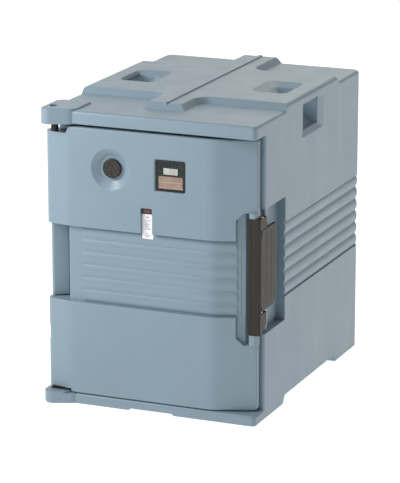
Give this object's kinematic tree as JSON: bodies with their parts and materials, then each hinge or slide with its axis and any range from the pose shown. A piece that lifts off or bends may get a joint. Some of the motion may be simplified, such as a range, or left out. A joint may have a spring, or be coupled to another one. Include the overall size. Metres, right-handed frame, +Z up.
{
  "type": "insulated food carrier",
  "caption": "Front-loading insulated pan carrier with heated hinged door, side latch, pan rails, carrying grips and stacking cross on top.",
  "frame": {"origin": "centre of the bounding box, on the surface the carrier stands on", "axes": "+X to the right seen from the door side, +Y from the door to the back, +Z up"},
  "size_m": [0.464, 0.6347, 0.634],
  "materials": {
    "shell": "rotomoulded polyethylene, slate blue, fine orange-peel",
    "liner": "smooth moulded polyethylene, slate blue",
    "foam": "rigid polyurethane foam",
    "steel": "stainless, brushed",
    "brass": "turned brass",
    "nylon": "dark brown moulded nylon",
    "bushing": "natural nylon",
    "seal": "silicone seal",
    "black_plastic": "black ABS",
    "lcd": "liquid crystal display",
    "solar": "amorphous silicon solar cell",
    "clear": "clear acrylic window",
    "lamp": "red-amber neon lens",
    "label": "white printed polyester",
    "tray": "folded aluminium sheet",
    "wire": "silicone-covered leads"
  },
  "bodies": {
    "cabinet": {"cabinet_shell": "shell", "cabinet_foam": "foam", "cavity_liner": "liner", "hinge_pin_lower": "steel", "hinge_pin_upper": "steel", "hinge_plates": "nylon", "plate_screws": "brass", "hinge_washers": "nylon"},
    "door": {"door_shell": "shell", "door_foam": "foam", "door_inner_panel": "liner", "door_gasket": "seal", "hinge_bushings": "bushing", "vent_tube": "nylon", "power_inlet": "black_plastic", "inlet_pins": "brass", "door_wiring": "wire", "thermometer_case": "black_plastic", "thermometer_display": "lcd", "solar_cell": "solar", "thermometer_window": "clear", "thermometer_probe": "steel", "pilot_lamp_body": "black_plastic", "pilot_lamp_lens": "lamp", "label_plate": "label", "heater_tray": "tray", "heater_element": "steel", "heater_cover": "nylon", "heater_screws": "steel", "thermostat": "black_plastic", "latch_rod": "steel"},
    "vent": {"vent_cap": "nylon"},
    "latch_frame": {"latch_frame": "nylon", "lever_pin": "brass"},
    "latch_lever": {"latch_lever": "nylon"}
  },
  "joints": [
    {"name": "door_hinge", "type": "hinge", "parent": "cabinet", "child": "door", "pos_m": [-0.212, -0.2815, 0.3], "axis": [0, 0, -1], "range_deg": [0, 220]},
    {"name": "vent_pull", "type": "slide", "parent": "door", "child": "vent", "axis": [0, -1, 0], "range_m": [0, 0.008]},
    {"name": "latch_swing", "type": "hinge", "parent": "door", "child": "latch_frame", "pos_m": [0.212, -0.266, 0.304], "axis": [0, 0, -1], "range_deg": [0, 100]},
    {"name": "lever_swing", "type": "hinge", "parent": "latch_frame", "child": "latch_lever", "pos_m": [0.2287, -0.2555, 0.304], "axis": [0, 0, -1], "range_deg": [0, 90]}
  ]
}
